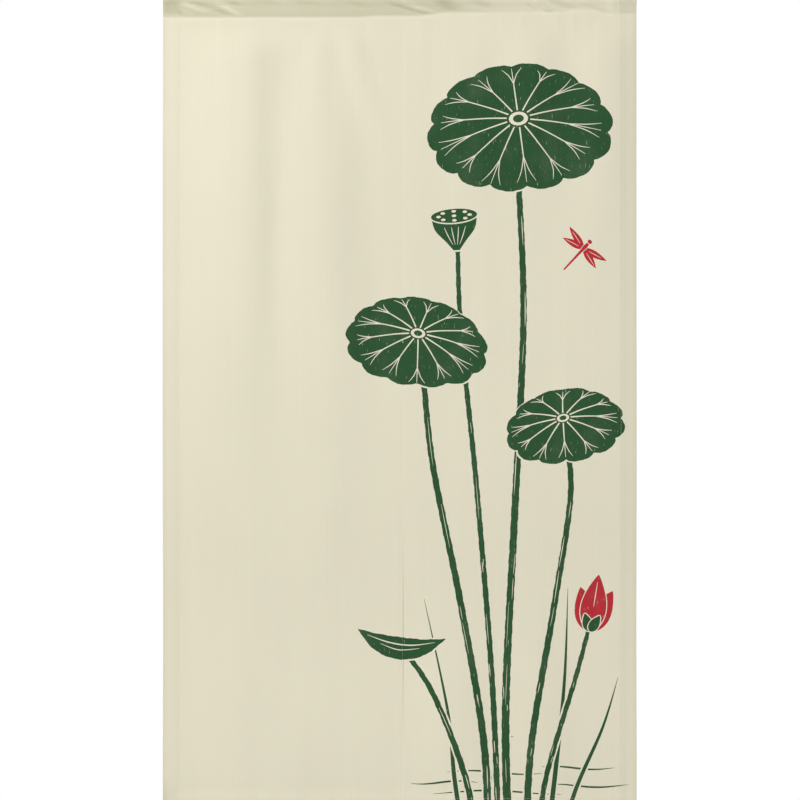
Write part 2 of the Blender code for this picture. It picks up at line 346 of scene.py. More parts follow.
def drag_rise(x, down):
    """Height of the sharp ridges and hollows at a depth below the top edge."""
    rise = 0.0
    for drag in DRAGS:
        along = np.clip((down - drag.top) / (drag.foot - drag.top), 0.0, 1.0)
        middle = between(drag.x_above, drag.x_below, along)
        fades = ease(along / DRAG_FADE) * ease((1 - along) / DRAG_FADE)
        rise = rise + drag.rise * fades * bump(x - middle, drag.half_width, drag.half_width)
    return rise


def leaf_out(down, seam, at_seam):
    """How far a leaf stands out from the rod's axis at a depth between that and the seam."""
    share = np.clip((down - ROD_AXIS) / (seam - ROD_AXIS), 0.0, 1.0)
    bent = ease((down - BEND_TOP) / (BEND_FOOT - BEND_TOP))
    closed = between(1 - np.cos(np.pi / 2 * share**LEAF_POWER), bent, BEND)
    return between(TOP_RADIUS, at_seam, closed)


def turn_back(along, radius):
    """A cloth turned back on itself where along is 0: how far in from the fold a place of it
    lies, and how much of the way it has gone to the other side, from 0 to 1."""
    angle = np.clip(along / radius, -np.pi / 2, np.pi / 2)
    past = abs(along) - abs(angle) * radius
    return radius * (1 - np.cos(angle)) + past, (1 - np.sin(angle)) / 2


def hemmed(from_edge, width):
    """A hem of this width: how far in from its edge a place of the cut lies, then how much
    of the way it has gone to the back layer, and from there to the turned-in raw edge."""
    inset, back = turn_back(from_edge, LAYER)
    raw_inset, raw = turn_back(from_edge + width, LAYER / 2)
    inside = from_edge < -width / 2
    return np.where(inside, width - raw_inset, inset), back, np.where(inside, raw, 0.0)


def hang(panel, cut_x, cut_down):
    """Where places of the flat cut hang, as rows of X, Y and Z. On the cut, X and the depth
    below the top edge run on past the edges into what is folded to the back."""
    # Across: the side hem is a face, then a back layer, then the raw edge between the two.
    inset, back, raw = hemmed(OUTER_X - panel.side * cut_x, SIDE_HEM)
    order = 2 * back - raw
    layers = 1 + 2 * ease((SIDE_HEM + HEM_EASES - inset) / HEM_EASES)
    parted = between(SEWN_HALF, PARTED_HALF, ease((SLIT_TOP + cut_down) / (SLIT_TOP + DROP)))
    x = panel.side * (OUTER_X - inset + (parted - TURN_TAKES) * inset / sewn_width(panel))
    roll = SELVEDGE_ROLL * ease(1 - abs(x - JOIN_X) / SELVEDGE) ** 2
    seam = seam_depth(x)

    # Down: at the foot the side hem's layers turn back together.
    foot_inset, foot_back, foot_raw = hemmed(DROP - cut_down, FOOT_HEM)
    stacked = between(order, 3 * layers - 1 - order, foot_back)
    stacked = between(stacked, layers + order, foot_raw)
    z = foot_inset - DROP + order * LAYER
    y = stacked * LAYER - proud(panel, x, z) + roll

    # The pocket's front leaf, then the turn over the rod, then the back leaf and its edge.
    share = np.clip((cut_down - ROD_AXIS) / (seam - ROD_AXIS), 0.0, 1.0)
    front_y = order * LAYER - leaf_out(cut_down, seam, 0.0)
    front_y -= pucker_rise(x, share) + drag_rise(x, cut_down)
    y = np.where(cut_down < seam, front_y + roll, y)
    turned = (ROD_AXIS - cut_down) / TOP_RADIUS
    radius = TOP_RADIUS - order * LAYER
    y = np.where(turned > 0, -radius * np.cos(turned) + roll, y)
    z = np.where(turned > 0, radius * np.sin(turned) - ROD_AXIS, z)
    down_behind = (turned - np.pi) * TOP_RADIUS
    edge_inset, edge_raw = turn_back(seam + SEAM_EDGE - ROD_AXIS - down_behind, LAYER / 2)
    near_edge = down_behind > (DEEPEST_SEAM - ROD_AXIS) / 2
    behind_z = np.where(near_edge, edge_inset - seam - SEAM_EDGE, -ROD_AXIS - down_behind)
    share = np.clip((-behind_z - ROD_AXIS) / (seam - ROD_AXIS), 0.0, 1.0)
    behind_y = leaf_out(-behind_z, seam, (3 * layers - 1) * LAYER)
    behind_y += BACK_PUCKER * pucker_rise(x, share)
    behind_y -= LAYER * between(order, 2 * layers - 1 - order, np.where(near_edge, edge_raw, 0.0))
    y = np.where(down_behind > 0, behind_y - roll, y)
    z = np.where(down_behind > 0, behind_z, z)
    return np.stack((x, y, z), axis=-1)


def layers_and_painted_shade(panel, cut_x, cut_down):
    """How many layers would darken a place of the cut as much as what lies behind it, plus its
    painted shade.
    """
    inset = abs(OUTER_X - panel.side * cut_x)
    foot_inset = abs(DROP - cut_down)
    side = ease((SIDE_HEM - inset) / HEM_STEP + 0.5)
    side += ease((inset - SIDE_HEM + RAW_EDGE) / HEM_STEP + 0.5) * side
    foot = ease((FOOT_HEM - foot_inset) / HEM_STEP)
    seam = seam_depth(cut_x)
    share = np.clip((cut_down - ROD_AXIS) / (seam - ROD_AXIS), 0.0, 1.0)
    lit = pucker_rise(cut_x, share) + drag_rise(cut_x, cut_down)
    shaded = 1 - ease((cut_x - SHADED_TO_X) / (UNSHADED_FROM_X - SHADED_TO_X))
    shaded = np.maximum(shaded, HEMMED_POCKET * np.minimum(side, 1.0))
    pocket = POCKET_PAINTED_SHADE * np.clip(shaded - lit / LIT_RIDGE, 0.0, DEEPEST_SHADE)
    pocket = pocket * ease((seam - cut_down) / LIP_DOWN + 0.5)
    pocket = between(pocket, BEHIND_DARKENS, ease((ROD_AXIS - cut_down) / TOP_RADIUS / np.pi))
    edge = EDGE_DARKENS * ease(1 - inset / EDGE_WIDTH)
    # Painted shade over the outer foot corner, where it curls back
    corner = ease(1 - inset / CORNER_REACH) * ease(1 + (FOOT_HEM - foot_inset) / CORNER_REACH)
    hems = np.maximum(panel.hem_darkens * side, FOOT_DARKENS * foot)
    return np.maximum(hems + edge + panel.corner_darkens * corner, pocket)


# The print is laid on the flat cloth before it is sewn, so it runs over the join, the pocket
# and the hems. It is a pond's lotus: broad leaves, a bud, a seed head and a dragonfly, cut as
# plain shapes with bare veins. Places are X and the depth below the top edge.
BARE, GREEN, RED = range(3)
MARGIN = 0.0030  # bare cloth left round a shape that lies over another
CUT_STEP = 0.0045  # from point to point along a cut edge
RAGGED = 0.00040  # how far a cut edge strays
LONG_STRAY = 0.0047  # and how soon it comes back, the long way and the short way
SHORT_STRAY = 0.0019
Shape = namedtuple("Shape", "dye outline")
print_shapes = []


def lay(dye, outline):
    """Prints a shape over those before it."""
    print_shapes.append(Shape(dye, outline))


def curve(points, step):
    """Rows about step apart along a smooth curve through the given rows."""
    rows = []
    ends = [points[0], *points, points[-1]]
    for before, start, end, after in zip(ends, ends[1:], ends[2:], ends[3:]):
        count = max(2, round(math.dist(start[:2], end[:2]) / step))
        for t in (i / count for i in range(count)):
            rows.append([
                b + 0.5 * t * (c - a + t * (2 * a - 5 * b + 4 * c - d + t * (3 * (b - c) + d - a)))
                for a, b, c, d in zip(before, start, end, after)
            ])
    return rows + [list(points[-1])]


def square_to(line, i):
    """Unit vector square to a line of points at its i-th one."""
    before, after = line[max(i - 1, 0)], line[min(i + 1, len(line) - 1)]
    length = math.dist(before[:2], after[:2])
    return (before[1] - after[1]) / length, (after[0] - before[0]) / length


def ribbon(points, step=CUT_STEP, extra=0.0):
    """Outline of a strip through rows of X, depth and half width."""
    line = curve(points, step)
    near, far = [], []
    for i, (x, down, half) in enumerate(line):
        side_x, side_down = square_to(line, i)
        near.append((x + side_x * (half + extra), down + side_down * (half + extra)))
        far.append((x - side_x * (half + extra), down - side_down * (half + extra)))
    return near + far[::-1]


def ragged(outline, seed):
    """The outline with the slightly uneven edge of a shape cut by hand."""
    run = 1.7 * seed
    edge = []
    for i, (x, down) in enumerate(outline):
        before, after = outline[i - 1], outline[(i + 1) % len(outline)]
        length = math.dist(before, after) or 1.0
        run += length / 2
        stray = RAGGED * (math.sin(run / LONG_STRAY) + 0.7 * math.sin(run / SHORT_STRAY + seed))
        edge.append((
            x - (after[1] - before[1]) / length * stray,
            down + (after[0] - before[0]) / length * stray,
        ))
    return edge


def turned(rows, x, down, turn):
    """Rows drawn about 0, 0, turned clockwise and put at a place."""
    cos, sin = math.cos(turn), math.sin(turn)
    return [(x + cos * a - sin * b, down + sin * a + cos * b, *rest) for a, b, *rest in rows]


def oval(x, down, width, height, count):
    """Outline of an oval, as this many points."""
    angles = (2 * math.pi * i / count for i in range(count))
    return [(x + width / 2 * math.cos(a), down + height / 2 * math.sin(a)) for a in angles]


PETAL_POINTS = 14  # along each side


def petal(x, down, length, width, lean, extra=0.0):
    """Outline of a pointed petal that stands on a place and leans to the right of upright."""
    side = []
    for share in (i / PETAL_POINTS for i in range(PETAL_POINTS + 1)):
        half = width / 2 * max(math.sin(math.pi * share**0.75), 0.0) ** 0.85
        up = between(-extra, length + extra, share)
        side.append((half + extra * (0 < share < 1), -up))
    return turned(side + [(-half, up) for half, up in side[-2:0:-1]], x, down, lean)


SCRATCH_STEP = 0.006  # from point to point along a scratch
SCRATCH_STEPS = (3, 4, 5, 7, 10, 14)
SCRATCH_ASIDE = 0.55  # at most, as a share of the stem's half width
SCRATCH_DRIFT = 0.25
SCRATCH_THINNEST = 0.0001  # half widths
SCRATCH_WIDEST = (0.0002, 0.0007)


def stem(points, foot_width, top_width, seed):
    """A stem through places from its foot up, with bare scratches along it."""
    last = len(points) - 1
    rows = [
        (x, down, between(foot_width, top_width, i / last) / 2)
        for i, (x, down) in enumerate(points)
    ]
    lay(BARE, ribbon(rows, extra=MARGIN))
    lay(GREEN, ragged(ribbon(rows), seed))
    line = curve(rows, SCRATCH_STEP)
    chance = random.Random(seed)
    start = chance.randint(2, 8)
    while start < len(line) - max(SCRATCH_STEPS) - 2:
        count = chance.choice(SCRATCH_STEPS)
        side = chance.uniform(-SCRATCH_ASIDE, SCRATCH_ASIDE)
        drift = chance.uniform(-SCRATCH_DRIFT, SCRATCH_DRIFT) / count
        widest = chance.uniform(*SCRATCH_WIDEST)
        scratch = []
        for i in range(start, start + count):
            side_x, side_down = square_to(line, i)
            x, down, half = line[i]
            off = half * (side + drift * (i - start))
            widens = math.sin(math.pi * (i - start + 0.3) / count)
            width = SCRATCH_THINNEST + widest * widens
            scratch.append((x + side_x * off, down + side_down * off, width))
        lay(BARE, ribbon(scratch, SCRATCH_STEP))
        start += chance.choice((2, count, count + 5, count + 11, count + 16))


# A round leaf seen at a slant. Its middle, where the stem meets it, dips below its centre.
Leaf = namedtuple("Leaf", "x down width height turn dip veins phase")


def leaf_place(leaf, out, angle):
    """A place on a leaf, by its share of the way from the middle to the rim and its angle."""
    across = out * math.cos(angle) * leaf.width / 2
    along = (out * math.sin(angle) + leaf.dip * (1 - out * out)) * leaf.height / 2
    return turned([(across, along)], leaf.x, leaf.down, leaf.turn)[0]


LOBE = 0.075  # how deep the rim is drawn in at a vein, as a share of the way out
LOBE_POINTS = 11
UNEVEN = (0.025, 0.020)  # how far the rim as a whole strays from an oval


def leaf_rim(leaf, extra=0.0):
    """Outline of the leaf, drawn in at each vein."""
    count = leaf.veins * LOBE_POINTS
    outline = []
    for angle in (2 * math.pi * i / count for i in range(count)):
        lobe = abs(math.sin(leaf.veins * (angle - leaf.phase) / 2)) ** 0.55
        wave = UNEVEN[0] * math.sin(2 * angle + 3 * leaf.phase)
        wave += UNEVEN[1] * math.sin(3 * angle + leaf.phase)
        out = (1 - LOBE + LOBE * lobe) * (1 + wave) + 2 * extra / leaf.width
        outline.append(leaf_place(leaf, out, angle))
    return outline


VEIN_STEP = 0.007
EYE_POINTS = 18


def round_leaf(leaf, seed):
    """A round leaf with bare veins, each forked in three, and a ring where its stem meets it."""
    lay(BARE, leaf_rim(leaf, MARGIN))
    lay(GREEN, ragged(leaf_rim(leaf), seed))
    step = 2 * math.pi / leaf.veins
    for i in range(leaf.veins):
        angle = leaf.phase + i * step
        end = 0.90 - 0.04 * (i % 2)
        fork = 0.58 + 0.06 * (i % 3)
        middle = (fork + end) / 2
        # Rows of how far out, how far round from the vein, and half width
        strips = [((0.13, 0, 0.0013), (0.35, 0, 0.0011), (fork, 0, 0.0009), (end, 0, 0.0004))]
        for side in (-step, step):
            strips.append((
                (fork - 0.05, 0, 0.0006), (middle, 0.13 * side, 0.0008), (end, 0.27 * side, 0.0003)
            ))
        for strip in strips:
            rows = [(*leaf_place(leaf, out, angle + off), half) for out, off, half in strip]
            lay(BARE, ribbon(rows, VEIN_STEP))
    for dye, out in ((BARE, 0.105), (GREEN, 0.060)):
        turns = (2 * math.pi * i / EYE_POINTS for i in range(EYE_POINTS))
        lay(dye, [leaf_place(leaf, out, angle) for angle in turns])


FINE = 0.0003  # half width of the tip of a drawn line


def blade(points, width):
    """A reed's blade through places from its foot to its tip."""
    last = len(points) - 1
    rows = [
        (x, down, width / 2 * (1 - (i / last) ** 2) + FINE) for i, (x, down) in enumerate(points)
    ]
    lay(BARE, ribbon(rows, extra=MARGIN))
    lay(GREEN, ribbon(rows))


RIPPLE_THICK = 0.0014


def ripple(x, down, length, height):
    """A water line, thickest in its middle."""
    rows = []
    for share in (i / 6 for i in range(7)):
        sway = height * math.sin(5.5 * share + 40 * x)
        half = FINE + RIPPLE_THICK * math.sin(math.pi * share)
        rows.append((x + length * share, down + sway, half))
    lay(GREEN, ribbon(rows))


# Strips of the shapes below, about their places, as rows of X, depth and half width
SEED_HEAD_GROOVE = ((0.032, -0.024, 0.0004), (0.022, -0.008, 0.0008), (0.010, 0.008, FINE))
BUD_VEIN = ((0, -0.045, FINE), (0, -0.066, 0.0008), (0, -0.090, FINE))
ROLLED_LEAF = (
    (-0.078, -0.016, 0.0004), (-0.040, 0.002, 0.0150), (0, 0.008, 0.0200),
    (0.040, 0.001, 0.0150), (0.080, -0.020, 0.0004),
)
ROLLED_LEAF_VEINS = (
    ((-0.060, -0.008, FINE), (-0.020, 0, 0.0011), (0.020, 0, 0.0011), (0.062, -0.011, FINE)),
    ((-0.034, 0.0045, FINE), (0, 0.011, 0.0009), (0.036, 0.0035, FINE)),
)
WING_VEIN = ((0, -0.010, FINE), (0, -0.022, 0.0005), (0, -0.036, FINE))
DRAGONFLY = ((0, -0.012, 0.0024), (0, -0.004, 0.0036), (0, 0.008, 0.0024), (0, 0.052, 0.0014))

SEEDS_OUT = 0.028  # from the seed in the middle to those round it
SEEN_SLANT = 0.29  # height to width of the round top, seen from the side


def seed_head(x, down, turn):
    """A lotus's seed head, a cone on its point with seeds in its flat top."""
    side = curve([(0.041, -0.044), (0.036, -0.020), (0.018, 0.002), (0.0055, 0.018)], CUT_STEP)
    top = side[0][1]
    for dye, extra in ((BARE, MARGIN), (GREEN, 0.0)):
        right = [(a + extra, b + extra * (i == len(side) - 1)) for i, (a, b) in enumerate(side)]
        lay(dye, turned(right + [(-a, b) for a, b in right[::-1]], x, down, turn))
    for dye, width, height in ((BARE, 0.088, 0.030), (GREEN, 0.083, 0.025)):
        lay(dye, turned(oval(0, top, width, height, 30), x, down, turn))
    for i in range(9):
        out = SEEDS_OUT if i else 0.0
        across = out * math.cos(i * math.pi / 4)
        along = SEEN_SLANT * out * math.sin(i * math.pi / 4)
        lay(BARE, turned(oval(across, along + top, 0.0085, 0.0048, 10), x, down, turn))
    for share in (-0.6, -0.2, 0.2, 0.6):
        groove = [(share * out, b, half) for out, b, half in SEED_HEAD_GROOVE]
        lay(BARE, turned(ribbon(groove), x, down, turn))


def bud(x, down, turn):
    """A closed bud of red petals on two green ones."""
    for dye, length, width, lean in (
        (RED, 0.082, 0.040, -0.36), (RED, 0.084, 0.040, 0.36), (RED, 0.104, 0.046, 0.0),
        (GREEN, 0.034, 0.018, -0.42), (GREEN, 0.034, 0.018, 0.42),
    ):
        lay(BARE, petal(x, down, length, width, turn + lean, MARGIN / 2))
        lay(dye, petal(x, down, length, width, turn + lean))
    lay(BARE, ribbon(turned(BUD_VEIN, x, down, turn)))


def rolled_leaf(x, down, turn, seed):
    """A young leaf, still rolled, across the top of its stem."""
    rows = turned(ROLLED_LEAF, x, down, turn)
    lay(BARE, ribbon(rows, extra=MARGIN))
    lay(GREEN, ragged(ribbon(rows), seed))
    for vein in ROLLED_LEAF_VEINS:
        lay(BARE, ribbon(turned(vein, x, down, turn)))


def dragonfly(x, down, turn):
    """Four wings, a slim body and a head, seen from above."""
    for lean, length in ((-1.32, 0.047), (1.32, 0.047), (-1.84, 0.042), (1.84, 0.042)):
        lay(RED, petal(x, down, length, 0.0125, turn + lean))
        lay(BARE, ribbon(turned(WING_VEIN, x, down, turn + lean)))
    rows = turned(DRAGONFLY, x, down, turn)
    lay(BARE, ribbon(rows, extra=MARGIN / 3))
    lay(RED, ribbon(rows))
    lay(RED, turned(oval(0, -0.0165, 0.0085, 0.0070, 18), x, down, turn))


for x, down, length, height in (
    (0.020, 1.428, 0.120, 0.0030), (0.085, 1.410, 0.170, 0.0034), (0.255, 1.402, 0.130, 0.0030),
    (0.060, 1.446, 0.230, 0.0036), (0.270, 1.434, 0.140, 0.0030), (0.130, 1.466, 0.190, 0.0030),
):
    ripple(x, down, length, height)
for width, places in (
    (0.0085, ((0.262, 1.552), (0.280, 1.40), (0.296, 1.24), (0.302, 1.08))),
    (0.0080, ((0.118, 1.552), (0.098, 1.42), (0.086, 1.30), (0.044, 1.10))),
    (0.0075, ((0.282, 1.552), (0.316, 1.44), (0.364, 1.33), (0.392, 1.24))),
):
    blade(places, width)

# Each stem's width at its foot and its top, and the places that it runs through
STEMS = (
    (0.0150, 0.0105, ((0.196, 1.552), (0.190, 1.30), (0.206, 0.95), (0.222, 0.60), (0.214, 0.36))),
    (0.0140, 0.0100, ((0.160, 1.552), (0.150, 1.35), (0.108, 1.10), (0.058, 0.85), (0.040, 0.66))),
    (0.0130, 0.0095, ((0.226, 1.552), (0.236, 1.36), (0.276, 1.12), (0.306, 0.92), (0.300, 0.82))),
    (0.0110, 0.0080, ((0.178, 1.552), (0.166, 1.25), (0.138, 0.90), (0.110, 0.62), (0.104, 0.46))),
    (0.0100, 0.0075, ((0.246, 1.552), (0.262, 1.42), (0.316, 1.24), (0.340, 1.15))),
    (0.0120, 0.0085, ((0.140, 1.552), (0.118, 1.42), (0.060, 1.27), (0.006, 1.19))),
)
for seed, (foot_width, top_width, places) in enumerate(STEMS, 1):
    stem(places, foot_width, top_width, seed)
seed_head(0.101, 0.455, -0.08)
bud(0.341, 1.158, 0.16)
rolled_leaf(0.000, 1.180, 0.14, 5)
round_leaf(Leaf(0.215, 0.255, 0.330, 0.235, -0.10, -0.16, 14, 0.2), 1)
round_leaf(Leaf(0.030, 0.640, 0.252, 0.165, 0.16, -0.22, 13, 0.5), 2)
round_leaf(Leaf(0.296, 0.790, 0.214, 0.136, -0.20, -0.24, 12, 0.1), 3)
dragonfly(0.330, 0.470, 0.75)

# How closely the points of the cut lie
CLOTH_PITCH = 0.0085
SEAM_PITCH = 0.0034  # across the pocket and just below it
TURN_PITCH = 0.0025  # over the rod
SEAM_ZONE = 0.075  # down to here below the top edge
FOLLOWS_TO = 0.160  # rows run parallel to the seam at the seam, and level from here down
CLEAR = 0.0020  # from any cut edge of the print
JOINS = 1e-6  # points nearer than this to each other become one
FOLD_STEPS = (-0.0016, -0.0008, -0.0004, 0.0, 0.0004, 0.0008, 0.0016)
POCKET_BACK = ROD_AXIS - np.pi * TOP_RADIUS  # on the cut, where the turn over the rod ends
SEAM_FOLD = POCKET_BACK - (DEEPEST_SEAM + SEAM_EDGE - ROD_AXIS)  # where the back leaf ends
CUT_TOP = SEAM_FOLD - POCKET_RAW
CUT_FOOT = DROP + FOOT_HEM + RAW_EDGE
CUT_SIDE = SIDE_HEM + RAW_EDGE


def spaced(stops, pitch):
    """Values over the stops, evenly spaced between each two and at most pitch apart."""
    values = [stops[0]]
    for start, end in zip(stops, stops[1:]):
        count = max(1, math.ceil((end - start) / pitch - 1e-6))
        values += [between(start, end, i / count) for i in range(1, count + 1)]
    return values


def near_fold(place):
    return [place + step for step in FOLD_STEPS]


def near_line(place):
    return [place - HEM_STEP / 2, place, place + HEM_STEP / 2]


def cut_rows():
    """Depths of the rows of points, the close ones above first, then those of the open cloth."""
    close = [CUT_TOP, *near_fold(SEAM_FOLD), *spaced((POCKET_BACK, ROD_AXIS), TURN_PITCH)]
    close += [*near_line(DEEPEST_SEAM), DEEPEST_SEAM + LIP_DOWN, SEAM_ZONE]
    apart = [SEAM_ZONE, *near_line(DROP - FOOT_HEM + RAW_EDGE), *near_line(DROP - FOOT_HEM)]
    apart += [*near_fold(DROP), *near_fold(DROP + FOOT_HEM), CUT_FOOT]
    return spaced(close, SEAM_PITCH), spaced(apart, CLOTH_PITCH)[1:]


def cut_columns(panel, pitch):
    """X of the columns of points, from the side hem's raw edge to the selvedge."""
    width = sewn_width(panel)
    stops = [-CUT_SIDE, *near_fold(-SIDE_HEM), *near_fold(0.0)]
    stops += [*near_line(SIDE_HEM - RAW_EDGE), *near_line(SIDE_HEM)]
    stops += [width - SELVEDGE, width - SELVEDGE / 2, width]
    return panel.side * (OUTER_X - np.array(spaced(stops, pitch)))


def follow_seam(x, down):
    """The depth of a row at X: rows at the seam and at the back leaf's edge run with them."""
    stops = (CUT_TOP, SEAM_FOLD, POCKET_BACK, ROD_AXIS, DEEPEST_SEAM, FOLLOWS_TO)
    share = np.interp(down, stops, (0, 1, 0, 0, -1, 0))
    return down + share * (DEEPEST_SEAM - seam_depth(x))


def counter_clockwise(outline):
    """The outline as points of the plan, with X to the right and Z up, turned to the left."""
    plan = [(x, -down) for x, down in outline]
    area = sum(a[0] * b[1] - b[0] * a[1] for a, b in zip(plan, plan[1:] + plan[:1]))
    return plan if area > 0 else plan[::-1]


def cut_cloth(panel):
    """The flat cut of a panel as triangles, whose edges follow the print's shapes: its points
    as rows of X and depth, its triangles, and the dye of each."""
    printed = [place for shape in print_shapes for place in counter_clockwise(shape.outline)]
    printed_edges = kdtree.KDTree(len(printed))
    for i, (x, z) in enumerate(printed):
        printed_edges.insert((x, z, 0), i)
    printed_edges.balance()

    points, edges, faces = [], [], []
    for rows, pitch in zip(cut_rows(), (SEAM_PITCH, CLOTH_PITCH)):
        xs = cut_columns(panel, pitch)
        for down in rows:
            for x, row_down in zip(xs, follow_seam(xs, down)):
                at = (float(x), -float(row_down))
                if printed_edges.find((*at, 0))[2] > CLEAR:
                    points.append(at)

    # The whole cut comes first among the outlines, then the shapes in the order of printing.
    outer_x = panel.side * (OUTER_X + CUT_SIDE)
    border = counter_clockwise((
        (outer_x, CUT_TOP), (JOIN_X, CUT_TOP), (JOIN_X, CUT_FOOT), (outer_x, CUT_FOOT)
    ))
    faces.append(list(range(len(points), len(points) + len(border))))
    points += border
    for row in (DEEPEST_SEAM, SEAM_FOLD):
        first = len(points)
        xs = cut_columns(panel, SEAM_PITCH)
        points += [(float(x), -float(follow_seam(x, row))) for x in xs]
        edges += [(i, i + 1) for i in range(first, len(points) - 1)]
    dyes = [BARE]
    low, high = sorted((outer_x, JOIN_X))
    for shape in print_shapes:
        xs = [x for x, _ in shape.outline]
        if max(xs) > low and min(xs) < high:
            outline = counter_clockwise(shape.outline)
            faces.append(list(range(len(points), len(points) + len(outline))))
            points += outline
            dyes.append(shape.dye)
    plan, _, triangles, _, _, inside = geometry.delaunay_2d_cdt(points, edges, faces, 0, JOINS)
    kept = [i for i, faces_here in enumerate(inside) if 0 in faces_here]
    plan = np.array([tuple(p) for p in plan]) * (1, -1)
    return plan, [triangles[i] for i in kept], [dyes[max(inside[i])] for i in kept]


def srgb(code):
    """Linear colour of an sRGB hex code."""
    parts = [int(code[i:i + 2], 16) / 255 for i in (0, 2, 4)]
    return (*[c / 12.92 if c <= 0.04045 else ((c + 0.055) / 1.055) ** 2.4 for c in parts], 1.0)


def feed(owner, fed, inputs):
    """Sets what the sockets of a node hold or are linked to."""
    for socket, value in inputs.items():
        if isinstance(value, bpy.types.NodeSocket):
            owner.node_tree.links.new(value, fed.inputs[socket])
        else:
            fed.inputs[socket].default_value = value


def node(owner, kind, settings, inputs):
    """Adds a node with its settings and links."""
    added = owner.node_tree.nodes.new("ShaderNode" + kind)
    for name, value in settings.items():
        setattr(added, name, value)
    feed(owner, added, inputs)
    return added


def new_material(name):
    material = bpy.data.materials.new(name)
    material.use_nodes = True
    return material, material.node_tree.nodes["Principled BSDF"]


THREAD_PITCH = 0.0011  # real threads lie 0.6 mm apart, which is too fine to show
BAND = 0.31416  # a Wave texture of scale 1 repeats at this length
USUAL = (0.30, 0.70)  # nearly all values of a Noise texture lie between these
TIMES = {"operation": "MULTIPLY"}
TINT = {"data_type": "RGBA", "blend_type": "MULTIPLY"}
FACTOR, COLOUR_A, COLOUR_B = 0, 6, 7  # sockets of a Mix node that mixes colours
MIXED = 2  # its output


def slub_cotton(name, colour, streak, dry):
    """Plain-woven slub cotton, matt and a little hairy: threads of uneven thickness give it
    faint upright streaks and short level slubs. Where it is printed, the weave's high
    threads and a few dry streaks take less of the ink."""
    material, shader = new_material(name)
    cut = node(material, "UVMap", {"uv_map": "cut"}, {}).outputs["UV"]

    def grain(width, height, detail, offset, low, high, low_to, high_to):
        """Noise of about this width and height on the cloth, from one range to another."""
        placed = node(material, "Mapping", {}, {
            "Vector": cut, "Scale": (1 / width, 1 / height, 1), "Location": (offset, offset, 0)
        })
        noise = node(material, "TexNoise", {}, {
            "Vector": placed.outputs[0], "Scale": 1.0, "Detail": detail, "Roughness": 0.5
        })
        return node(material, "MapRange", {}, {
            "Value": noise.outputs[0], "From Min": low, "From Max": high, "To Min": low_to,
            "To Max": high_to,
        }).outputs[0]

    warp, weft = (
        node(material, "TexWave", {"bands_direction": axis}, {
            "Vector": cut, "Scale": BAND / THREAD_PITCH, "Distortion": 0.6, "Detail": 1.0,
            "Detail Scale": 0.6,
        })
        for axis in "XY"
    )
    weave = node(material, "Math", TIMES, {0: warp.outputs[1], 1: weft.outputs[1]}).outputs[0]
    threads = node(material, "MapRange", {}, {"Value": weave, "To Min": 0.98, "To Max": 1.012})
    # Slubs, like the dry streaks further down, are only where the noise is highest.
    slubs = grain(0.0320, 0.0016, 2.0, 3.0, 0.62, 0.76, 1.0, 1 - 1.5 * streak)
    tone = threads.outputs[0]
    for pattern in (
        slubs,
        grain(0.0260, 0.0014, 2.0, 11.0, 0.64, 0.78, 1.0, 1 + 1.2 * streak),
        grain(0.0030, 0.4200, 2.0, 0.0, *USUAL, 1 - streak, 1 + streak),
        grain(0.0300, 0.9000, 1.0, 7.0, *USUAL, 1 - streak / 2, 1 + streak / 2),
        grain(0.2200, 0.3000, 3.0, 5.0, *USUAL, 0.988, 1.012),
    ):
        tone = node(material, "Math", TIMES, {0: tone, 1: pattern}).outputs[0]
    dyed = colour
    if dry:
        worn = grain(0.0022, 0.0150, 3.0, 2.0, 0.66, 0.74, 0.0, dry)
        patches = grain(0.0500, 0.0700, 2.0, 9.0, 0.0, 1.0, 0.0, 1.0)
        high = node(material, "Math", TIMES, {0: weave, 1: patches})
        rubbed = node(material, "MapRange", {}, {
            "Value": high.outputs[0], "From Min": 0.42, "From Max": 0.62, "To Max": dry / 2
        })
        lack = node(material, "Math", {"operation": "MAXIMUM"}, {0: worn, 1: rubbed.outputs[0]})
        dyed = node(material, "Mix", {"data_type": "RGBA"}, {
            FACTOR: lack.outputs[0], COLOUR_A: colour, COLOUR_B: CLOTH_COLOUR
        }).outputs[MIXED]
    toned = node(material, "Mix", TINT, {FACTOR: 1.0, COLOUR_A: dyed, COLOUR_B: tone})
    # The attribute holds layers and painted shade. The share runs on past 1, as the painted shade
    # in the pocket's hollows is darker than its usual painted shade.
    behind = node(material, "Attribute", {"attribute_name": "layers_and_painted_shade"}, {})
    share = node(material, "MapRange", {}, {
        "Value": behind.outputs["Fac"], "From Max": 2 * POCKET_PAINTED_SHADE, "To Max": 2.0
    })
    tinted_by_shade_and_layers = node(material, "Mix", {**TINT, "clamp_factor": False}, {
        FACTOR: share.outputs[0], COLOUR_A: toned.outputs[MIXED], COLOUR_B: LAYER_AND_SHADE_TINT
    })
    relief = node(material, "Math", {"operation": "ADD"}, {0: weave, 1: slubs})
    bumped = node(material, "Bump", {}, {
        "Height": relief.outputs[0], "Strength": 0.35, "Distance": 0.0003
    })
    feed(material, shader, {
        "Base Color": tinted_by_shade_and_layers.outputs[MIXED], "Normal": bumped.outputs[0], "Roughness": 0.93,
        "Specular IOR Level": 0.25, "Sheen Weight": 0.12, "Sheen Roughness": 0.5,
    })
    return material


CLOTH_COLOUR = srgb("e9e3cb")
LAYER_AND_SHADE_TINT = srgb("eaece5")  # tint for each layer's lost light and for the painted shade
# The bare cloth and its two inks, and then what shows of each on the back
cloth_materials = (
    slub_cotton("ecru_slub_cotton", CLOTH_COLOUR, 0.009, 0.0),
    slub_cotton("green_pigment_print", srgb("2a5230"), 0.05, 0.5),
    slub_cotton("red_pigment_print", srgb("bb2c36"), 0.04, 0.5),
    slub_cotton("ecru_slub_cotton_back", srgb("e4dec6"), 0.009, 0.0),
    slub_cotton("green_print_seen_through", srgb("9caf8d"), 0.04, 0.0),
    slub_cotton("red_print_seen_through", srgb("d9a79c"), 0.04, 0.0),
)
BACK_MATERIALS = 3  # a face's own back comes this much later in the list

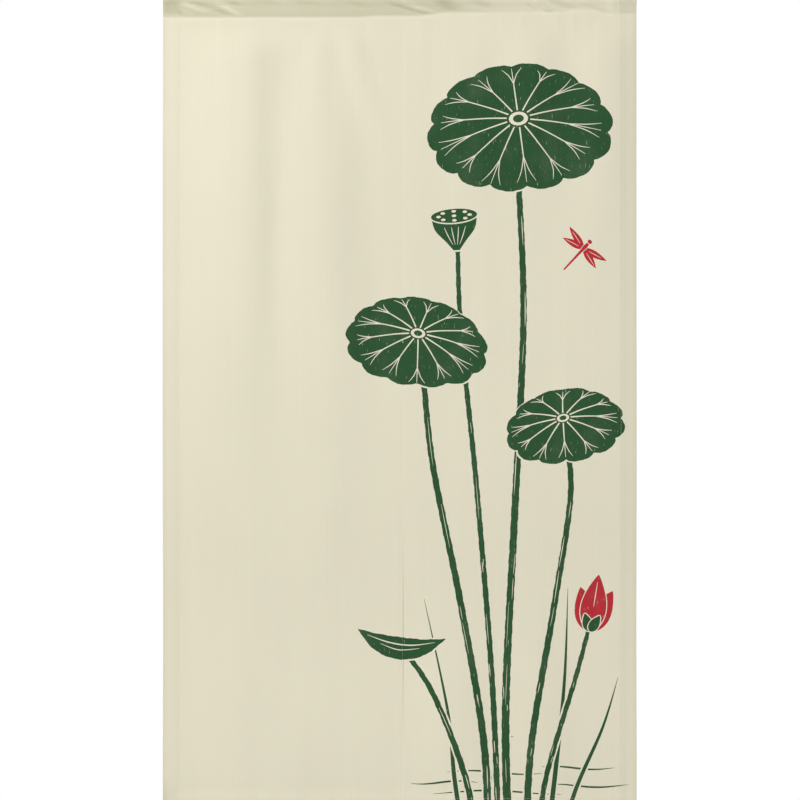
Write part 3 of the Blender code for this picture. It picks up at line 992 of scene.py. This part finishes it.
for panel in PANELS:
    plan, triangles, dyes = cut_cloth(panel)
    cut_x, cut_down = plan.T
    mesh = bpy.data.meshes.new(panel.name + "_panel_cloth")
    mesh.from_pydata(hang(panel, cut_x, cut_down).tolist(), [], triangles)
    for material in cloth_materials:
        mesh.materials.append(material)
    mesh.polygons.foreach_set("material_index", dyes)
    mesh.shade_smooth()
    # A sharp edge keeps the sheet's thin rim from shading the face along the join.
    at_selvedge = np.isclose(cut_x, JOIN_X)
    for edge in mesh.edges:
        edge.use_edge_sharp = bool(at_selvedge[list(edge.vertices)].all())
    corners = np.zeros(len(mesh.loops), dtype=int)
    mesh.loops.foreach_get("vertex_index", corners)
    flat_map = mesh.uv_layers.new(name="cut")
    flat_map.data.foreach_set("uv", (plan[corners] * (1, -1)).ravel())
    # Layers behind each point and its painted shade, which tint the cloth
    layers = mesh.attributes.new("layers_and_painted_shade", "FLOAT", "POINT")
    layers.data.foreach_set("value", layers_and_painted_shade(panel, cut_x, cut_down))
    cloth = bpy.data.objects.new(mesh.name, mesh)
    bpy.context.scene.collection.objects.link(cloth)
    thick = cloth.modifiers.new("thickness", "SOLIDIFY")
    thick.thickness = SHEET
    thick.offset = 0.0
    thick.material_offset = BACK_MATERIALS
    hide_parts("panel_" + panel.name)
    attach(cloth, "root")

# ----------------------------------------
# The stitching. Ecru spun thread in a straight lockstitch, which shows on both sides, along
# the hems and the pocket's seam. The selvedges are whipped together on the back, down to a
# bar tack at the top of the slit.
# ----------------------------------------
THREAD = 0.00036
STITCH = 0.0026  # the part of a stitch that shows
# Each length of a stitch's rounded end: how far out it runs, how far down towards the cloth in
# threads, and how much slimmer it gets
STITCH_END = ((0.16 * STITCH, 0.35, 0.85), (0.09 * STITCH, 0.75, 0.7))
STANDS_OUT = SHEET / 2 + THREAD / 5  # a stitch's middle, from the middle of the sheet
STITCH_PITCH = 0.0035
WHIP_PITCH = 0.0045
WHIP_SLANT = 0.5
TACK_PITCH = 0.0007
TACK_STITCHES = 9
HEM_SEAM = 0.0020  # inside the hem's inner edge
BELOW_SEAM = 0.0002  # where the leaves have met
NEARBY = 0.0006  # how far off the cloth is felt for, to find which way a stitch lies


def select_facing(piece, direction):
    """Selects the piece's faces that look along a direction, and leaves it in edit mode."""
    bpy.ops.object.mode_set(mode="EDIT")
    bpy.ops.mesh.select_all(action="DESELECT")
    bpy.ops.object.mode_set(mode="OBJECT")
    for face in piece.data.polygons:
        face.select = face.normal.dot(direction) > 0.9
    bpy.ops.object.mode_set(mode="EDIT")


bpy.ops.object.select_all(action="DESELECT")
bpy.ops.mesh.primitive_cylinder_add(
    vertices=5, radius=THREAD / 2, depth=STITCH / 2, end_fill_type="NGON",
    rotation=(0, math.pi / 2, 0),
)
stitch = bpy.context.object
bpy.ops.object.transform_apply(location=False, rotation=True, scale=False)
for way in (-1, 1):
    for reach, drop, slimmer in STITCH_END:
        select_facing(stitch, (way, 0, 0))
        bpy.ops.mesh.extrude_region_move(
            TRANSFORM_OT_translate={"value": (way * reach, 0, -drop * THREAD)}
        )
        bpy.ops.transform.resize(value=(1, slimmer, slimmer))
        bpy.ops.object.mode_set(mode="OBJECT")
stitch_points = np.array([point.co for point in stitch.data.vertices])
stitch_faces = [list(face.vertices) for face in stitch.data.polygons]
bpy.data.objects.remove(stitch)


def on_cloth(panel, cut_x, cut_down, slant):
    """Stitches at places of the cut, each with its middle, its direction and the way out of
    the printed side. The slant turns them from level, anticlockwise on the flat cut."""
    run, climb = NEARBY * math.cos(slant), NEARBY * math.sin(slant)
    along = hang(panel, cut_x + run, cut_down - climb) - hang(panel, cut_x - run, cut_down + climb)
    up = hang(panel, cut_x - climb, cut_down - run) - hang(panel, cut_x + climb, cut_down + run)
    along /= np.linalg.norm(along, axis=1, keepdims=True)
    out = np.cross(along, up)
    out /= np.linalg.norm(out, axis=1, keepdims=True)
    return hang(panel, cut_x, cut_down) + out * STANDS_OUT, along, out


def sew(name, stitches):
    """One piece of all these stitches."""
    middles, along, out = (np.concatenate(rows) for rows in zip(*stitches))
    side = np.cross(out, along)
    shape = stitch_points[None, :, :, None]
    points = middles[:, None] + shape[:, :, 0] * along[:, None]
    points = points + shape[:, :, 1] * side[:, None] + shape[:, :, 2] * out[:, None]
    count = len(stitch_points)
    faces = [[i * count + p for p in face] for i in range(len(middles)) for face in stitch_faces]
    mesh = bpy.data.meshes.new(name)
    mesh.from_pydata(points.reshape(-1, 3).tolist(), [], faces)
    mesh.shade_smooth()
    mesh.materials.append(thread)
    piece = bpy.data.objects.new(name, mesh)
    bpy.context.scene.collection.objects.link(piece)
    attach(piece, "root")


# Spun thread: a soft sheen, and its fuzz makes it a little paler and darker along its run.
thread, thread_shader = new_material("ecru_spun_thread")
thread_place = node(thread, "TexCoord", {}, {}).outputs["Object"]
fuzz = node(thread, "TexNoise", {}, {"Vector": thread_place, "Scale": 900.0, "Detail": 2.0})
shade = node(thread, "MapRange", {}, {"Value": fuzz.outputs[0], "To Min": 0.86, "To Max": 1.04})
tint = node(thread, "Mix", TINT, {
    FACTOR: 1.0, COLOUR_A: srgb("e8e1c8"), COLOUR_B: shade.outputs[0]
})
feed(thread, thread_shader, {
    "Base Color": tint.outputs[MIXED], "Roughness": 0.75, "Sheen Weight": 0.2
})

for panel in PANELS:
    across = np.arange(STITCH_PITCH, sewn_width(panel) - SELVEDGE, STITCH_PITCH)
    xs = panel.side * (OUTER_X - across)
    seam = seam_depth(xs)
    back_seam = POCKET_BACK + ROD_AXIS - seam
    foot_line = np.full_like(xs, FOOT_HEM - HEM_SEAM)
    sew("pocket_stitches_" + panel.name, [
        on_cloth(panel, xs, seam + BELOW_SEAM, 0.0),
        on_cloth(panel, xs, back_seam + BELOW_SEAM, 0.0),
    ])
    sew("foot_stitches_" + panel.name, [
        on_cloth(panel, xs, DROP - foot_line, 0.0), on_cloth(panel, xs, DROP + foot_line, 0.0),
    ])
    downs = np.arange(DEEPEST_SEAM + STITCH_PITCH, DROP - STITCH_PITCH, STITCH_PITCH)
    hem_line = np.full_like(downs, SIDE_HEM - HEM_SEAM)
    sew("side_stitches_" + panel.name, [
        on_cloth(panel, panel.side * (OUTER_X - hem_line), downs, math.pi / 2),
        on_cloth(panel, panel.side * (OUTER_X + hem_line), downs, math.pi / 2),
    ])

# Over the join each stitch spans both selvedges, so it starts from the left one's side of it.
left = PANELS[0]
whipped = np.arange(DEEPEST_SEAM + 2 * WHIP_PITCH, -SLIT_TOP, WHIP_PITCH)
tacked = -SLIT_TOP + TACK_PITCH * np.arange(TACK_STITCHES)
bridges = []
for downs, slant, ways in ((whipped, WHIP_SLANT, (1,)), (tacked, 0.0, (-1, 1))):
    for way in ways:
        beside = hang(left, np.full_like(downs, JOIN_X - SELVEDGE), downs)
        middles = beside + (SELVEDGE, way * STANDS_OUT, 0)
        if way > 0:
            middles += (0, SELVEDGE_ROLL, 0)
        directions = np.tile((math.cos(slant), 0.0, math.sin(slant)), (len(downs), 1))
        bridges.append((middles, directions, np.tile((0.0, way, 0.0), (len(downs), 1))))
sew("join_stitches", bridges)

# ----------------------------------------
# Floor and light. A plain pale floor well below the foot, and a white surround. One large
# soft lamp hangs high up at the left, a small one low at the right, and one behind.
# ----------------------------------------
FLOOR_Z = -1.9
FLOOR_RADIUS = 2.4
bpy.ops.object.select_all(action="DESELECT")
bpy.ops.mesh.primitive_circle_add(
    vertices=96, radius=FLOOR_RADIUS, fill_type="NGON", location=(0, 0, FLOOR_Z)
)
floor = bpy.context.object
floor.name = "floor"
# Plain and matt, so that it shows nothing of the curtain
pale, pale_shader = new_material("pale_floor")
feed(pale, pale_shader, {"Base Color": srgb("ebebeb"), "Roughness": 0.7})
floor.data.materials.append(pale)

# The surround looks plain white, and gives less light than that.
WHITE = srgb("ffffff")
SURROUND_LIGHT = 0.414
surround = bpy.data.worlds.new("surround")
bpy.context.scene.world = surround
surround.use_nodes = True
lighting = node(surround, "Background", {}, {"Color": WHITE, "Strength": SURROUND_LIGHT})
looked_at = node(surround, "Background", {}, {"Color": WHITE, "Strength": 1.0})
path = node(surround, "LightPath", {}, {})
either = node(surround, "MixShader", {}, {
    0: path.outputs["Is Camera Ray"], 1: lighting.outputs[0], 2: looked_at.outputs[0]
})
world_output = surround.node_tree.nodes["World Output"]
surround.node_tree.links.new(either.outputs[0], world_output.inputs["Surface"])

Lamp = namedtuple("Lamp", "name place size energy aimed_at")
LAMPS = (
    Lamp("large_soft_lamp", (-1.76, -3.2, 1.4), 1.6, 104, (0, 0, -0.7)),
    Lamp("small_soft_lamp_low", (1.3, -1.5, -1.5), 0.8, 1.6, (0.3, 0, -1.2)),
    Lamp("large_soft_lamp_behind", (1.4, 4.2, 0.6), 2.6, 110, (0, 0, -0.7)),
)
for lamp in LAMPS:
    bpy.ops.object.light_add(type="AREA", location=lamp.place)
    light = bpy.context.object
    light.name = lamp.name
    light.data.size = lamp.size
    light.data.energy = lamp.energy
    aim = Vector(lamp.aimed_at) - light.location
    light.rotation_euler = aim.to_track_quat("-Z", "Y").to_euler()

bpy.context.scene.view_settings.view_transform = "Standard"
